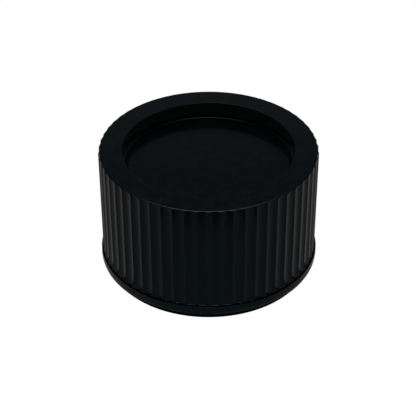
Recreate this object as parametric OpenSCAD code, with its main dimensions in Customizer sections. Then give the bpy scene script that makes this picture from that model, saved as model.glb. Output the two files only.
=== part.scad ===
// Rock tumbler barrel, about one pound size.
// A fluted drum with a plain band at its foot, a rubber liner inside it that is ten-sided so that
// the load tumbles instead of sliding, and a dished push-in lid that seals on two O-rings and a
// flat gasket. +Z is up, the origin is the middle of the foot, and all lengths are millimetres.

/* [Outside] */
// Overall height, from the foot to the top face of the lid
total_h = 67.5; // [66:0.5:80]
// Radius over the flute crests at the top face, before its edge is rounded
top_r = 56; // [55.5:0.1:56.5]
// Draft of the fluted wall: it narrows downwards
draft = 0.9; // [0.9:0.1:1.2]
// Radius of the plain band at the foot
band_r = 55.9; // [55.6:0.1:57]
// Height of the plain band at the foot
band_h = 9.3; // [8.5:0.1:11]
// Outer radius of the foot, where the bevel under the band ends
foot_r = 52; // [51:0.5:53]
// Angle of that bevel from the wall
foot_bevel = 38.7; // [30:0.5:45]

/* [Flutes] */
// Number of flutes round the wall
flute_count = 58; // [50:1:66]
// Depth of a flute below the line between its two crests
flute_depth = 0.8; // [0.8:0.05:1.2]
// Width of the flat land left on each crest at the top
crest_land = 0.16; // [0.14:0.02:0.4]

/* [Lid] */
// Thickness of the lid's flange at its edge
flange_t = 2.6; // [2.4:0.1:4]
// Radius of the dish at the top face
dish_r = 44; // [43.6:0.1:44.2]
// Depth of the dish, from the top face down to the disc in it
dish_depth = 7.9; // [7:0.1:8.2]
// Radius of the stiffening disc in the dish
disc_r = 41.3; // [40:0.1:41.6]
// Thickness of the stiffening disc
disc_t = 1.2; // [1:0.1:1.6]
// Outside radius of the plug that enters the mouth
plug_r = 46; // [45.8:0.1:46.1]
// Depth of the plug below the top face
plug_depth = 16.4; // [16.2:0.1:17]
// Radius of the rounded edge round the top face
edge_r = 2; // [1:0.1:2.2]
// Radius of the eased edge where the dish starts
dish_edge_r = 0.25; // [0.2:0.05:0.6]

/* [Seals] */
// Radius of an O-ring's section
o_ring_section_r = 1.3; // [1:0.1:1.4]
// Depth of the upper O-ring's middle below the top face
upper_ring_depth = 10.2; // [10.1:0.1:10.4]
// Depth of the lower O-ring's middle below the top face
lower_ring_depth = 14.2; // [14:0.1:14.3]
// Thickness of the flat gasket under the flange
gasket_t = 0.9; // [0.6:0.1:1]
// Thickness of the rubber pad under the plug
pad_t = 4.8; // [3:0.1:4.9]

/* [Drum and liner] */
// Radius of the mouth that the plug enters
mouth_r = 46.3; // [46.2:0.1:46.5]
// Inside radius of the drum's wall
drum_inner_r = 51; // [50:0.5:52]
// Number of flats inside the liner
liner_sides = 10; // [8:1:12]
// Distance from the axis to a flat of the liner
liner_flat_r = 44; // [42:0.5:44.5]
// Thickness of the liner's floor
liner_floor_t = 5; // [4:0.5:8]

/* [Hidden] */
$fn = 96;

// Levels above the foot
seam_z = total_h - flange_t;
seam_gap = 0.05;
shoulder_t = 4;
shoulder_z = seam_z - shoulder_t;
neck_t = 2.5;
plug_z = total_h - plug_depth;
neck_z = plug_z - 0.4;
disc_top_z = total_h - dish_depth;
disc_z = disc_top_z - disc_t;
disc_pocket_depth = 0.5;
web_top_z = disc_z + disc_pocket_depth;
web_t = 3;
web_z = web_top_z - web_t;

// Base cap
foot_recess = 1.2;
foot_inner_r = 46.5;
foot_blend_r = 5;
ledge_edge_r = 0.3;
cap_floor_z = 5;
spigot_z = band_h + 4.3;
spigot_t = 2.5;
fit_gap = 0.1;
spigot_r = drum_inner_r - fit_gap;

// Lid
skirt_inner_r = 41.5;
dish_draft = 0.7;
dish_fillet = 1.2;
groove_extra = 0.1;
o_ring_r = mouth_r - 0.05 - o_ring_section_r;
gasket_inner_r = mouth_r + 2.2;
gasket_outer_r = drum_inner_r + 1.5;

// Turns the fluted pieces so that a crest faces the front, -Y
front = -90;

// Flute cutter, worked out from the width and the depth of one flute at the top
flute_pitch = 360 / flute_count;
flute_half_w = top_r * sin(flute_pitch / 2) - crest_land / 2;
flute_r = (flute_half_w * flute_half_w + flute_depth * flute_depth) / (2 * flute_depth);
flute_axis_r = sqrt(top_r * top_r - flute_half_w * flute_half_w) - flute_depth + flute_r;

BLACK = "#15181a";
RUBBER = "#1b1c1d";

// Crest radius of the fluted wall at a height above the foot
function crest_r(z) = top_r - (total_h - z) * tan(draft);

// Points of a quarter arc about [x, z], from angle a to angle b
function arc(x, z, r, a, b, steps = 6) =
    [for (i = [0:steps]) [x + r * cos(a + (b - a) * i / steps), z + r * sin(a + (b - a) * i / steps)]];

// Ring of cylinders leaning with the draft, which scoop the flutes out of the wall
module flute_cutters() {
    for (i = [0:flute_count - 1])
        rotate((i + 0.5) * flute_pitch)
            translate([flute_axis_r, 0, total_h])
                rotate([0, draft, 0])
                    translate([0, 0, -total_h])
                        cylinder(h = total_h + 2, r = flute_r);
}

// Fluted sleeve with a shoulder and a neck that make the mouth; it is open below
module drum_shell() {
    color(BLACK)
        rotate(front)
            difference() {
                rotate_extrude()
                    polygon([
                        [crest_r(band_h), band_h],
                        [crest_r(seam_z), seam_z],
                        [mouth_r + 0.6, seam_z],
                        [mouth_r, seam_z - 0.6],
                        [mouth_r, neck_z],
                        [mouth_r + neck_t, neck_z],
                        [mouth_r + neck_t, shoulder_z],
                        [drum_inner_r, shoulder_z],
                        [drum_inner_r, band_h],
                    ]);
                flute_cutters();
            }
}

// Closes the sleeve from below: the plain band with its bevelled foot, the floor, and a spigot
module base_cap() {
    // Height at which the bevel's rounding runs out into the band
    bevel_blend_z = foot_blend_r * sin(foot_bevel)
        + (band_r - foot_blend_r * (1 - cos(foot_bevel)) - foot_r) / tan(foot_bevel);
    color(BLACK)
        rotate_extrude()
            polygon(concat(
                [
                    [0, foot_recess],
                    [foot_inner_r, foot_recess],
                    [foot_inner_r + foot_recess, 0],
                    [foot_r, 0],
                ],
                arc(band_r - foot_blend_r, bevel_blend_z, foot_blend_r, -foot_bevel, 0),
                arc(band_r - ledge_edge_r, band_h - ledge_edge_r, ledge_edge_r, 0, 90),
                [
                    [spigot_r, band_h],
                    [spigot_r, spigot_z - 0.8],
                    [spigot_r - 0.8, spigot_z],
                    [spigot_r - spigot_t, spigot_z],
                    [spigot_r - spigot_t, cap_floor_z],
                    [0, cap_floor_z],
                ]
            ));
}

// Thick rubber cup, round outside and ten-sided inside
module rubber_liner() {
    liner_r = drum_inner_r - fit_gap;
    foot_r = spigot_r - spigot_t - fit_gap;
    chamber_z = cap_floor_z + liner_floor_t;
    chamber_h = neck_z - chamber_z;
    color(RUBBER)
        difference() {
            union() {
                translate([0, 0, cap_floor_z])
                    cylinder(h = spigot_z - cap_floor_z + 1, r = foot_r);
                translate([0, 0, spigot_z + fit_gap])
                    cylinder(h = shoulder_z - spigot_z - fit_gap, r = liner_r);
            }
            // Room for the neck
            translate([0, 0, neck_z - fit_gap])
                cylinder(h = total_h, r = mouth_r + neck_t + fit_gap);
            // Ten-sided chamber
            translate([0, 0, chamber_z])
                rotate(180 / liner_sides)
                    cylinder(h = chamber_h + 1, r = liner_flat_r / cos(180 / liner_sides), $fn = liner_sides);
        }
}

// Flange with the flutes carried through its edge, dish, and the plug with its two grooves
module lid_cap() {
    color(BLACK)
        rotate(front)
            difference() {
                rotate_extrude()
                    polygon(concat(
                        [[0, web_top_z], [dish_r - dish_draft - dish_fillet, web_top_z]],
                        arc(dish_r - dish_draft - dish_fillet, web_top_z + dish_fillet, dish_fillet, -90, 0),
                        arc(dish_r + dish_edge_r, total_h - dish_edge_r, dish_edge_r, 180, 90),
                        arc(crest_r(total_h) - edge_r, total_h - edge_r, edge_r, 90, 0),
                        [
                            [crest_r(seam_z), seam_z + seam_gap],
                            [gasket_outer_r + fit_gap, seam_z + seam_gap],
                            [gasket_outer_r + fit_gap, seam_z + gasket_t],
                            [gasket_inner_r - fit_gap, seam_z + gasket_t],
                            [gasket_inner_r - fit_gap, seam_z + seam_gap],
                            [plug_r, seam_z + seam_gap],
                            [plug_r, plug_z + 0.6],
                            [plug_r - 0.6, plug_z],
                            [skirt_inner_r, plug_z],
                            [skirt_inner_r, web_z],
                            [0, web_z],
                        ]
                    ));
                flute_cutters();
                // Pocket for the disc
                translate([0, 0, disc_z])
                    cylinder(h = disc_t, r = disc_r + 0.05);
                for (depth = [upper_ring_depth, lower_ring_depth])
                    o_ring_groove(total_h - depth);
            }
}

module o_ring_groove(z) {
    groove_h = 2 * (o_ring_section_r + groove_extra);
    floor_r = o_ring_r - o_ring_section_r - 0.05;
    translate([0, 0, z - groove_h / 2])
        difference() {
            cylinder(h = groove_h, r = plug_r + 1);
            translate([0, 0, -1])
                cylinder(h = groove_h + 2, r = floor_r);
        }
}

// Stiff disc on the floor of the dish, with an eased top edge
module lid_disc() {
    ease = 0.4;
    color(BLACK)
        rotate_extrude()
            polygon(concat(
                [[0, disc_z], [disc_r, disc_z]],
                arc(disc_r - ease, disc_top_z - ease, ease, 0, 90),
                [[0, disc_top_z]]
            ));
}

// Flat ring between the flange and the shoulder
module lid_gasket() {
    color(RUBBER)
        translate([0, 0, seam_z])
            difference() {
                cylinder(h = gasket_t, r = gasket_outer_r);
                translate([0, 0, -1])
                    cylinder(h = gasket_t + 2, r = gasket_inner_r);
            }
}

module o_ring(depth) {
    color(RUBBER)
        translate([0, 0, total_h - depth])
            rotate_extrude()
                translate([o_ring_r, 0])
                    circle(r = o_ring_section_r, $fn = 32);
}

module upper_o_ring() {
    o_ring(upper_ring_depth);
}

module lower_o_ring() {
    o_ring(lower_ring_depth);
}

// Rubber face under the plug, which takes the knocks of the load
module lid_pad() {
    color(RUBBER)
        translate([0, 0, web_z - pad_t])
            rotate_extrude()
                polygon([
                    [0, 0],
                    [skirt_inner_r - fit_gap - 1, 0],
                    [skirt_inner_r - fit_gap, 1],
                    [skirt_inner_r - fit_gap, pad_t],
                    [0, pad_t],
                ]);
}

drum_shell();
base_cap();
rubber_liner();
lid_cap();
lid_disc();
lid_gasket();
upper_o_ring();
lower_o_ring();
lid_pad();
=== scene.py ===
"""Rock tumbler barrel: the visible pieces, their materials, a studio and a camera.

Lengths in the outlines are millimetres, as in the CAD source; MM turns them into metres.
Every piece is turned on one lathe: a profile of corners, each with its own rounding, is carried
round the axis, and each corner follows a plain circle, the flutes, or the liner's flats.
"""
import math

import bpy
import numpy as np
from mathutils import Matrix, Vector


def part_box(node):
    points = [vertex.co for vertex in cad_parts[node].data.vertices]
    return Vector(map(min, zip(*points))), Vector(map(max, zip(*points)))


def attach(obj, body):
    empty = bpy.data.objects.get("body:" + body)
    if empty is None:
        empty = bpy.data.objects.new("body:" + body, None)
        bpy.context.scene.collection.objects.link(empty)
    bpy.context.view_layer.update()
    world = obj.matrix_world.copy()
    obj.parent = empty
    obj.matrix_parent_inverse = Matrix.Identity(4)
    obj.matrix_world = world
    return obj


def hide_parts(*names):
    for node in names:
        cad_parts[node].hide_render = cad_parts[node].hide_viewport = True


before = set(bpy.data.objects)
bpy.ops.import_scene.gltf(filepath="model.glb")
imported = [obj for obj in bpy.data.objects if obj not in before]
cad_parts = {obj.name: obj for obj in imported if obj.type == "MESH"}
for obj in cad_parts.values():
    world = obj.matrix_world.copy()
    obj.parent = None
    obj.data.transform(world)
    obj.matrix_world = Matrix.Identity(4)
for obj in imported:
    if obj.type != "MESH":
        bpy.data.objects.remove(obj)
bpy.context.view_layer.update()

MM = 0.001

# ---------------------------------------------------------------- sizes read from the parts in model.glb


def extents(node):
    """Outer radius, lowest and highest level of a round node, in millimetres."""
    low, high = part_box(node)
    return high.y / MM, low.z / MM, high.z / MM


_, BAND_TOP, SEAM_Z = extents("drum_shell")
_, PLUG_Z, TOP_Z = extents("lid_cap")
BAND_R, _, SPIGOT_Z = extents("base_cap")
DISC_R, DISC_Z, DISC_TOP = extents("lid_disc")
LINER_R, LINER_Z, SHOULDER_Z = extents("rubber_liner")
GASKET_R, _, GASKET_TOP = extents("lid_gasket")
RING_R, UPPER_LOW, UPPER_HIGH = extents("upper_o_ring")
_, LOWER_LOW, LOWER_HIGH = extents("lower_o_ring")
PAD_R, PAD_Z, WEB_Z = extents("lid_pad")

# ---------------------------------------------------------------- sizes shared with the design

TOP_R = 56
DRAFT = math.tan(math.radians(0.9))
FLUTES = 58
FLUTE_DEPTH = 0.6
CREST_LAND = 0.16
SEAM_GAP = 0.05
FIT_GAP = 0.1
MOUTH_R = RING_R + 0.05
PLUG_R = MOUTH_R - 0.3
NECK_T = 2.5
NECK_Z = PLUG_Z - 0.4
DRUM_INNER_R = LINER_R + FIT_GAP
DISH_R = 44
DISH_DRAFT = 0.7
DISH_FILLET = 0.3
DISH_EDGE_R = 0.12
EDGE_R = 2
WEB_TOP = DISC_Z + 0.5
SKIRT_R = PAD_R + FIT_GAP
GASKET_INNER_R = MOUTH_R + 2.2
RING_SECTION = (UPPER_HIGH - UPPER_LOW) / 2
FOOT_RECESS = 1.2
FOOT_INNER_R = 46.5
FOOT_R = 52
FOOT_BEVEL = math.tan(math.radians(38.7))
SPIGOT_R = DRUM_INNER_R - FIT_GAP
SPIGOT_T = 2.5
CAP_FLOOR_Z = LINER_Z
CHAMBER_Z = CAP_FLOOR_Z + 5
LINER_SIDES = 10
LINER_FLAT_R = 44


def crest_r(z):
    """Radius over the flute crests at a height."""
    return TOP_R - (TOP_Z - z) * DRAFT


# ---------------------------------------------------------------- outlines round the axis

CREST_SOFTNESS = 0.04
SCOOP_END_R = 0.6
PARTING_H = 0.4
PARTING_DEPTH = 0.6
CORNER_R = 3.0


def plain(radius, z, angles):
    return np.full_like(angles, radius)


def fluted(radius, z, angles):
    """The lesser of a circle and the flutes at that height, with a soft corner between them.

    Just above the parting groove each flute curves outward and ends.
    """
    half_w = TOP_R * math.sin(math.pi / FLUTES) - CREST_LAND / 2
    cutter_r = (half_w**2 + FLUTE_DEPTH**2) / (2 * FLUTE_DEPTH)
    axis_at_top = math.sqrt(TOP_R**2 - half_w**2) - FLUTE_DEPTH + cutter_r
    axis_r = axis_at_top - (TOP_Z - z) * DRAFT
    pitch = 2 * math.pi / FLUTES
    local = (angles + pitch / 2) % pitch - pitch / 2
    reach = np.maximum(cutter_r**2 - (axis_r * np.sin(local)) ** 2, 0)
    scoop = axis_r * np.cos(local) - np.sqrt(reach)
    to_end = max(SCOOP_END_R - (z - BAND_TOP - PARTING_H), 0)
    scoop += SCOOP_END_R - math.sqrt(SCOOP_END_R**2 - min(to_end, SCOOP_END_R)**2)
    gap = scoop - radius
    return radius + (gap - np.sqrt(gap**2 + CREST_SOFTNESS**2)) / 2


def ten_flats(radius, z, angles):
    """A ten-sided outline with rounded corners; radius is the distance to a flat."""
    side = 2 * math.pi / LINER_SIDES
    local = np.abs((angles + side / 2) % side - side / 2)
    corner = math.pi / LINER_SIDES
    centre = (radius - CORNER_R) / math.cos(corner)
    from_corner = corner - local
    reach = np.maximum(CORNER_R**2 - (centre * np.sin(from_corner)) ** 2, 0)
    rounded_part = centre * np.cos(from_corner) + np.sqrt(reach)
    tangent = math.atan((radius - CORNER_R) * math.tan(corner) / radius)
    return np.where(local < tangent, radius / np.cos(local), rounded_part)


def even_angles(count):
    return np.arange(count) * 2 * math.pi / count


def flute_angles():
    """Columns that crowd together at each crest, halfway between two flutes."""
    shares = np.array([0, 0.012, 0.03, 0.06, 0.12, 0.21, 0.31, 0.42, 0.5])
    shares = np.concatenate([shares, 1 - shares[-2:0:-1]])
    pitch = 2 * math.pi / FLUTES
    return np.concatenate([(i + 0.5 + shares) * pitch for i in range(FLUTES)])


# ---------------------------------------------------------------- lathe

HOLD = 0.06


def eased(corners, closed):
    """Rounds each corner (r, z, rounding, outline). Two holding points keep the flats beside it flat."""
    points = []
    count = len(corners)
    for i, (r, z, rounding, outline) in enumerate(corners):
        is_end = not closed and i in (0, count - 1)
        if rounding <= 0 or is_end:
            points.append((r, z, outline))
            continue
        here = np.array([r, z])
        before = np.array(corners[i - 1][:2]) - here
        after = np.array(corners[(i + 1) % count][:2]) - here
        before_len, after_len = np.linalg.norm(before), np.linalg.norm(after)
        before, after = before / before_len, after / after_len
        half = math.acos(max(-1.0, min(1.0, float(before @ after)))) / 2
        room = 0.45 * min(before_len, after_len)
        cut = min(rounding / math.tan(half), room)
        radius = cut * math.tan(half)
        middle = here + (before + after) / np.linalg.norm(before + after) * radius / math.sin(half)
        hold = min(HOLD, room * 0.1)
        start, end = here + before * cut, here + after * cut
        points.append((*(start + before * hold), outline))
        a, b = start - middle, end - middle
        sweep = math.pi - 2 * half
        steps = 4 + math.ceil(radius * sweep / 0.25)
        for k in range(steps + 1):
            t = k / steps
            p = middle + (a * math.sin((1 - t) * sweep) + b * math.sin(t * sweep)) / math.sin(sweep)
            points.append((*p, outline))
        points.append((*(end + after * hold), outline))
    return points


def lathe(name, corners, angles, closed=False):
    """A closed solid, turned round the axis. An open profile starts and ends on the axis."""
    profile = eased(corners, closed)
    columns = len(angles)
    cos, sin = np.cos(angles), np.sin(angles)
    rings, verts = [], []
    for r, z, outline in profile:
        if r < 1e-6:
            rings.append([len(verts)])
            verts.append((0.0, 0.0, z * MM))
            continue
        radii = outline(r, z, angles)
        rings.append(range(len(verts), len(verts) + columns))
        verts.extend(zip(radii * cos * MM, radii * sin * MM, [z * MM] * columns))
    faces = []
    pairs = list(zip(rings, rings[1:])) + ([(rings[-1], rings[0])] if closed else [])
    for one, two in pairs:
        for j in range(columns):
            k = (j + 1) % columns
            if len(one) == 1:
                faces.append((one[0], two[k], two[j]))
            elif len(two) == 1:
                faces.append((one[j], one[k], two[0]))
            else:
                faces.append((one[j], one[k], two[k], two[j]))
    mesh = bpy.data.meshes.new(name)
    mesh.from_pydata(verts, [], faces)
    mesh.update()
    piece = bpy.data.objects.new(name, mesh)
    bpy.context.scene.collection.objects.link(piece)
    outward(mesh)
    mesh.shade_smooth()
    mesh.set_sharp_from_angle(angle=math.radians(50))
    return piece


def outward(mesh):
    """Turns the faces outward, judged by the sign of the volume that they enclose."""
    mesh.calc_loop_triangles()
    points = np.array([v.co for v in mesh.vertices])
    tris = np.array([t.vertices for t in mesh.loop_triangles])
    a, b, c = points[tris[:, 0]], points[tris[:, 1]], points[tris[:, 2]]
    if np.einsum("ij,ij->i", a, np.cross(b, c)).sum() < 0:
        mesh.flip_normals()


def ring_profile(centre_r, centre_z, section, count=32):
    """Corners of a round section, such as an O-ring's."""
    turn = [2 * math.pi * i / count for i in range(count)]
    return [(centre_r + section * math.cos(a), centre_z + section * math.sin(a), 0, plain) for a in turn]


# ---------------------------------------------------------------- materials


class Nodes:
    """A short way to add and join shader nodes."""

    def __init__(self, name):
        self.material = bpy.data.materials.new(name)
        self.material.use_nodes = True
        self.tree = self.material.node_tree
        self.shader = self.tree.nodes["Principled BSDF"]
        self.place = self.tree.nodes.new("ShaderNodeTexCoord").outputs["Object"]

    def add(self, kind, **inputs):
        node = self.tree.nodes.new(kind)
        for key, value in inputs.items():
            socket = node.inputs[key.replace("_", " ")]
            if isinstance(value, bpy.types.NodeSocket):
                self.tree.links.new(value, socket)
            else:
                socket.default_value = value
        return node

    def noise(self, size_mm, detail=2.0, roughness=0.5):
        """Noise whose blobs are about size_mm across."""
        node = self.add("ShaderNodeTexNoise", Vector=self.place, Scale=1 / (size_mm * MM), Detail=detail)
        node.inputs["Roughness"].default_value = roughness
        return node.outputs["Fac"]

    def between(self, factor, low, high):
        """The factor, which lies about 0.3 to 0.7, stretched to low and high."""
        node = self.tree.nodes.new("ShaderNodeMapRange")
        node.inputs["From Min"].default_value = 0.3
        node.inputs["From Max"].default_value = 0.7
        node.inputs["To Min"].default_value = low
        node.inputs["To Max"].default_value = high
        self.tree.links.new(factor, node.inputs["Value"])
        return node.outputs["Result"]

    def blend(self, factor, one, two):
        node = self.tree.nodes.new("ShaderNodeMix")
        node.data_type = "RGBA"
        node.inputs["A"].default_value = (*one, 1)
        node.inputs["B"].default_value = (*two, 1)
        self.tree.links.new(factor, node.inputs["Factor"])
        return node.outputs["Result"]

    def set(self, socket, value):
        target = self.shader.inputs[socket]
        if isinstance(value, bpy.types.NodeSocket):
            self.tree.links.new(value, target)
        else:
            target.default_value = value

    def bump(self, layers):
        """Layers of (height, depth in mm), added one on the other."""
        normal = None
        for height, depth_mm in layers:
            node = self.add("ShaderNodeBump", Height=height, Distance=depth_mm * MM)
            node.inputs["Strength"].default_value = 1.0
            if normal is not None:
                self.tree.links.new(normal, node.inputs["Normal"])
            normal = node.outputs["Normal"]
        self.set("Normal", normal)


def moulded_plastic(name, grain_mm=0.22):
    """Satin black moulding: a fine spark-eroded grain, faint flow clouds and uneven sheen."""
    n = Nodes(name)
    clouds = n.noise(9, detail=3)
    tint = n.blend(n.between(clouds, 0, 1), (0.0006, 0.0016, 0.0026), (0.0010, 0.0024, 0.0036))
    n.set("Base Color", tint)
    n.set("Roughness", n.between(n.noise(5, detail=4), 0.15, 0.20))
    n.set("IOR", 1.5)
    n.bump([(n.noise(grain_mm, detail=2), 0.0010), (n.noise(14, detail=1), 0.006)])
    return n.material


def soft_rubber(name, grain_mm=0.5, base=0.010, roughness=0.55):
    """Matt black rubber with a coarser skin and a bloom of paler dust."""
    n = Nodes(name)
    bloom = n.between(n.noise(7, detail=5, roughness=0.6), 0, 1)
    tint = n.blend(bloom, (base, base, base * 1.05), (base * 1.7, base * 1.7, base * 1.7))
    n.set("Base Color", tint)
    n.set("Roughness", n.between(n.noise(2.5, detail=4), roughness - 0.06, roughness + 0.08))
    n.set("IOR", 1.48)
    n.bump([(n.noise(grain_mm, detail=4), 0.012), (n.noise(6, detail=2), 0.03)])
    return n.material


SATIN = moulded_plastic("satin_black_plastic")
DISC_SATIN = moulded_plastic("satin_black_disc", grain_mm=0.3)
LINER_RUBBER = soft_rubber("liner_rubber")
PAD_RUBBER = soft_rubber("pad_rubber", grain_mm=0.4)
SEAL_RUBBER = soft_rubber("seal_rubber", grain_mm=0.15, base=0.007, roughness=0.32)


def finish_piece(piece, material, body, slot, *nodes):
    """Gives a piece its material and its body, and hides the CAD nodes that it stands for."""
    piece.data.materials.append(material)
    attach(piece, body)
    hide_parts(*nodes)
    return piece


# ---------------------------------------------------------------- drum


def make_drum_shell():
    turns = [math.radians(a) for a in range(0, 91, 9)]
    levels = [BAND_TOP + PARTING_H + SCOOP_END_R * (1 - math.cos(a)) for a in turns]
    corners = [
        (crest_r(BAND_TOP) - PARTING_DEPTH, BAND_TOP, 0, plain),
        *[(crest_r(z), z, 0, fluted) for z in levels],
        (crest_r(SEAM_Z), SEAM_Z, 0.12, fluted),
        (MOUTH_R, SEAM_Z, 0.6, plain),
        (MOUTH_R, NECK_Z, 0.5, plain),
        (MOUTH_R + NECK_T, NECK_Z, 0.5, plain),
        (MOUTH_R + NECK_T, SHOULDER_Z, 0.5, plain),
        (DRUM_INNER_R, SHOULDER_Z, 0.5, plain),
        (DRUM_INNER_R, BAND_TOP, 0.2, plain),
    ]
    piece = lathe("fluted_shell", corners, flute_angles(), closed=True)
    return finish_piece(piece, SATIN, "drum", "shell_plastic", "drum_shell")


def make_base_cap():
    gate_r = 3.0
    gate_depth = 0.4
    bevel_top = (BAND_R - FOOT_R) / FOOT_BEVEL
    corners = [
        (0, FOOT_RECESS + gate_depth, 0, plain),
        (gate_r, FOOT_RECESS + gate_depth, 0.2, plain),
        (gate_r + 0.4, FOOT_RECESS, 0.2, plain),
        (FOOT_INNER_R, FOOT_RECESS, 0.5, plain),
        (FOOT_INNER_R + FOOT_RECESS, 0, 0.3, plain),
        (FOOT_R, 0, 0.4, plain),
        (BAND_R, bevel_top, 5.0, plain),
        (BAND_R, BAND_TOP, 0.12, plain),
        (SPIGOT_R, BAND_TOP, 0, plain),
        (SPIGOT_R, SPIGOT_Z, 0.8, plain),
        (SPIGOT_R - SPIGOT_T, SPIGOT_Z, 0.3, plain),
        (SPIGOT_R - SPIGOT_T, CAP_FLOOR_Z, 0, plain),
        (0, CAP_FLOOR_Z, 0, plain),
    ]
    piece = lathe("foot_band_and_floor", corners, even_angles(288))
    return finish_piece(piece, SATIN, "drum", "base_plastic", "base_cap")


def make_liner():
    foot_r = SPIGOT_R - SPIGOT_T - FIT_GAP
    neck_room_r = MOUTH_R + NECK_T + FIT_GAP
    corners = [
        (0, CHAMBER_Z, 0, plain),
        (LINER_FLAT_R, CHAMBER_Z, 3.0, ten_flats),
        (LINER_FLAT_R, NECK_Z - FIT_GAP, 1.0, ten_flats),
        (neck_room_r, NECK_Z - FIT_GAP, 0, plain),
        (neck_room_r, SHOULDER_Z, 0.3, plain),
        (LINER_R, SHOULDER_Z, 0.3, plain),
        (LINER_R, SPIGOT_Z + FIT_GAP, 0.3, plain),
        (foot_r, SPIGOT_Z + FIT_GAP, 0, plain),
        (foot_r, LINER_Z, 0.5, plain),
        (0, LINER_Z, 0, plain),
    ]
    piece = lathe("ten_sided_liner", corners, even_angles(720))
    return finish_piece(piece, LINER_RUBBER, "drum", "liner_rubber", "rubber_liner")


# ---------------------------------------------------------------- lid


def groove(low, high):
    """Corners of one O-ring groove, from its top edge down."""
    extra = 0.1
    floor_r = RING_R - 2 * RING_SECTION - 0.05
    return [
        (PLUG_R, high + extra, 0.12, plain),
        (floor_r, high + extra, 0.2, plain),
        (floor_r, low - extra, 0.2, plain),
        (PLUG_R, low - extra, 0.12, plain),
    ]


def make_lid_cap():
    flange_z = SEAM_Z + SEAM_GAP
    corners = [
        (0, DISC_Z, 0, plain),
        (DISC_R + 0.05, DISC_Z, 0, plain),
        (DISC_R + 0.05, WEB_TOP, 0.1, plain),
        (DISH_R - DISH_DRAFT, WEB_TOP, DISH_FILLET, plain),
        (DISH_R, TOP_Z, DISH_EDGE_R, plain),
        (TOP_R, TOP_Z, EDGE_R, fluted),
        (crest_r(flange_z), flange_z, 0.12, fluted),
        (GASKET_R + FIT_GAP, flange_z, 0.1, plain),
        (GASKET_R + FIT_GAP, GASKET_TOP, 0, plain),
        (GASKET_INNER_R - FIT_GAP, GASKET_TOP, 0, plain),
        (GASKET_INNER_R - FIT_GAP, flange_z, 0.1, plain),
        (PLUG_R, flange_z, 0.2, plain),
        *groove(UPPER_LOW, UPPER_HIGH),
        *groove(LOWER_LOW, LOWER_HIGH),
        (PLUG_R, PLUG_Z, 0.6, plain),
        (SKIRT_R, PLUG_Z, 0.3, plain),
        (SKIRT_R, WEB_Z, 0.3, plain),
        (0, WEB_Z, 0, plain),
    ]
    piece = lathe("dished_lid", corners, flute_angles())
    return finish_piece(piece, SATIN, "lid", "lid_plastic", "lid_cap")


def make_lid_disc():
    corners = [
        (0, DISC_Z, 0, plain),
        (DISC_R, DISC_Z, 0.1, plain),
        (DISC_R, DISC_TOP, 0.4, plain),
        (0, DISC_TOP, 0, plain),
    ]
    piece = lathe("dish_disc", corners, even_angles(288))
    return finish_piece(piece, DISC_SATIN, "lid", "disc_plastic", "lid_disc")


def make_gasket():
    corners = [
        (GASKET_INNER_R, SEAM_Z, 0.15, plain),
        (GASKET_R, SEAM_Z, 0.15, plain),
        (GASKET_R, GASKET_TOP, 0.15, plain),
        (GASKET_INNER_R, GASKET_TOP, 0.15, plain),
    ]
    piece = lathe("flange_gasket", corners, even_angles(288), closed=True)
    return finish_piece(piece, SEAL_RUBBER, "lid", "seal_rubber", "lid_gasket")


def make_o_ring(name, low, high, node):
    corners = ring_profile(RING_R - RING_SECTION, (low + high) / 2, RING_SECTION)
    piece = lathe(name, corners, even_angles(288), closed=True)
    return finish_piece(piece, SEAL_RUBBER, "lid", "seal_rubber", node)


def make_pad():
    rib = 0.35
    rib_radii = [12, 22, 32]
    corners = [(0, PAD_Z + rib, 0, plain)]
    for r in rib_radii:
        corners += [
            (r - 1.2, PAD_Z + rib, 0.2, plain),
            (r - 0.8, PAD_Z, 0.2, plain),
            (r + 0.8, PAD_Z, 0.2, plain),
            (r + 1.2, PAD_Z + rib, 0.2, plain),
        ]
    corners += [
        (PAD_R - 3.0, PAD_Z + rib, 0.3, plain),
        (PAD_R - 2.4, PAD_Z, 0.3, plain),
        (PAD_R - 1.0, PAD_Z, 0.4, plain),
        (PAD_R, PAD_Z + 1.0, 0.4, plain),
        (PAD_R, WEB_Z, 0.2, plain),
        (0, WEB_Z, 0, plain),
    ]
    piece = lathe("lid_face_pad", corners, even_angles(288))
    return finish_piece(piece, PAD_RUBBER, "lid", "pad_rubber", "lid_pad")


make_drum_shell()
make_base_cap()
make_liner()
make_lid_cap()
make_lid_disc()
make_gasket()
make_o_ring("o_ring_upper", UPPER_LOW, UPPER_HIGH, "upper_o_ring")
make_o_ring("o_ring_lower", LOWER_LOW, LOWER_HIGH, "lower_o_ring")
make_pad()

# ---------------------------------------------------------------- studio

# Radiance of the table, from the camera's side (-1) to the far side (1): place, level, coolness
TABLE_STOPS = [
    (-1.0, 0.115, 1), (-0.80, 0.110, 1), (-0.59, 0.115, 1), (-0.28, 0.125, 0.5),
    (0.0, 0.14, 0), (0.41, 0.17, 0), (0.63, 0.22, 0), (0.82, 0.30, 0),
]
# Radiance of the room, from straight down (-1) to straight up (1)
ROOM_STOPS = [
    (-1.0, 0.15, 0), (0.0, 0.20, 0), (0.40, 0.18, 0), (0.49, 0.14, 0.3), (0.54, 0.055, 1),
    (0.60, 0.020, 1), (0.80, 0.02, 1), (1.0, 0.08, 1),
]


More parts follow.
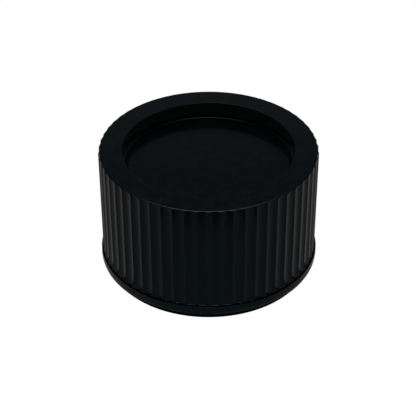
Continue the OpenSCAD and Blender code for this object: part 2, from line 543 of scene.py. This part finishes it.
def plain_sheet(name, corners, level):
    """A flat matt sheet of the studio, glowing evenly at the given level."""
    mesh = bpy.data.meshes.new(name)
    mesh.from_pydata(corners, [], [tuple(range(len(corners)))])
    sheet = bpy.data.objects.new(name, mesh)
    bpy.context.scene.collection.objects.link(sheet)
    material = bpy.data.materials.new(name)
    material.use_nodes = True
    shader = material.node_tree.nodes["Principled BSDF"]
    shader.inputs["Base Color"].default_value = (0, 0, 0, 1)
    shader.inputs["Roughness"].default_value = 1.0
    shader.inputs["Specular IOR Level"].default_value = 0.0
    shader.inputs["Emission Color"].default_value = (1, 1, 1, 1)
    shader.inputs["Emission Strength"].default_value = level
    mesh.materials.append(material)
    return sheet


def make_floor():
    """A pale light table, bright enough to print white with no shadow."""
    s = 3.0
    floor = plain_sheet("floor", [(-s, -s, 0), (s, -s, 0), (s, s, 0), (-s, s, 0)], 1.0)
    floor.visible_glossy = False
    floor.visible_diffuse = False


def make_dark_reflection_card(name, corners):
    """A black card that only reflections see: it paints dark reflections and casts no shadow."""
    flag = plain_sheet(name, corners, 0.004)
    flag.visible_camera = False
    flag.visible_diffuse = False
    flag.visible_shadow = False


def make_dark_reflection_cards():
    """One black card rises in front of the barrel, below the camera, as a painted dark reflection of the
    room in front. The other lies under its foot as a painted shadow: the shade under the foot, seen only
    in reflections.
    """
    near, far, rise = -0.136, -0.50, 0.20
    # Painted dark reflection: the front card darkens the rim's and wall's reflection of the room in
    # front.
    make_dark_reflection_card("front_dark_reflection_card", [(-0.065, near, 0), (0.065, near, 0), (0.30, far, rise), (-0.30, far, rise)])
    # Painted shadow: the disc under the foot stands in for the shade under the barrel, seen only in
    # reflections.
    turns = [2 * math.pi * i / 48 for i in range(48)]
    radius = (FOOT_R + 4) * MM
    make_dark_reflection_card("foot_shadow_card", [(radius * math.cos(a), radius * math.sin(a), -0.0002) for a in turns])


def add_ramp(tree, factor, stops):
    """A colour ramp over -1 to 1. Each stop is (place, level, coolness)."""
    shift = tree.nodes.new("ShaderNodeMapRange")
    shift.inputs["From Min"].default_value = -1
    shift.inputs["From Max"].default_value = 1
    ramp = tree.nodes.new("ShaderNodeValToRGB")
    tree.links.new(factor, shift.inputs["Value"])
    tree.links.new(shift.outputs["Result"], ramp.inputs["Fac"])
    elements = ramp.color_ramp.elements
    while len(elements) < len(stops):
        elements.new(0.5)
    for element, (place, level, cool) in zip(elements, stops):
        element.position = (place + 1) / 2
        element.color = (level * (1 - 0.3 * cool), level, level * (1 + 0.22 * cool), 1)
    return ramp.outputs["Color"]


def make_world():
    """A dim room round a pale table: the table is brighter behind the barrel than in front of it."""
    world = bpy.data.worlds.new("studio")
    world.use_nodes = True
    bpy.context.scene.world = world
    tree = world.node_tree
    place = tree.nodes.new("ShaderNodeTexCoord")
    split = tree.nodes.new("ShaderNodeSeparateXYZ")
    tree.links.new(place.outputs["Generated"], split.inputs["Vector"])
    table = add_ramp(tree, split.outputs["Y"], TABLE_STOPS)
    room = add_ramp(tree, split.outputs["Z"], ROOM_STOPS)
    horizon = tree.nodes.new("ShaderNodeMapRange")
    horizon.inputs["From Min"].default_value = -0.30
    horizon.inputs["From Max"].default_value = -0.10
    tree.links.new(split.outputs["Z"], horizon.inputs["Value"])
    mix = tree.nodes.new("ShaderNodeMix")
    mix.data_type = "RGBA"
    tree.links.new(horizon.outputs["Result"], mix.inputs["Factor"])
    tree.links.new(table, mix.inputs["A"])
    tree.links.new(room, mix.inputs["B"])
    tree.links.new(mix.outputs["Result"], tree.nodes["Background"].inputs["Color"])


def make_softbox(name, location, size, power):
    """A rectangular light aimed at the middle of the barrel."""
    target = Vector((0, 0, 0.03))
    light = bpy.data.lights.new(name, "AREA")
    light.shape = "RECTANGLE"
    light.size, light.size_y = size
    light.energy = power
    box = bpy.data.objects.new(name, light)
    box.location = location
    direction = target - Vector(location)
    box.rotation_euler = direction.to_track_quat("-Z", "Y").to_euler()
    bpy.context.scene.collection.objects.link(box)


def make_camera():
    """Looks down at the barrel from in front."""
    elevation = math.radians(35.0)
    distance = 1.0
    centre = Vector((0, 0, 0.03125))
    back = Vector((0, -math.cos(elevation), math.sin(elevation)))
    data = bpy.data.cameras.new("camera")
    data.sensor_width = 36
    data.lens = 167.38
    data.shift_x = -0.0017
    data.shift_y = -0.0014
    data.clip_start = 0.01
    data.clip_end = 20
    camera = bpy.data.objects.new("camera", data)
    roll = Matrix.Rotation(math.radians(-0.13), 4, "Z")
    turn = (-back).to_track_quat("-Z", "Y").to_matrix().to_4x4()
    camera.matrix_world = Matrix.Translation(centre + back * distance) @ turn @ roll
    bpy.context.scene.collection.objects.link(camera)
    bpy.context.scene.camera = camera


make_floor()
make_dark_reflection_cards()
make_world()
make_softbox("overhead", (0, -0.02, 0.9), (0.60, 1.5), 2.2)
make_camera()
bpy.context.scene.view_settings.view_transform = "Standard"
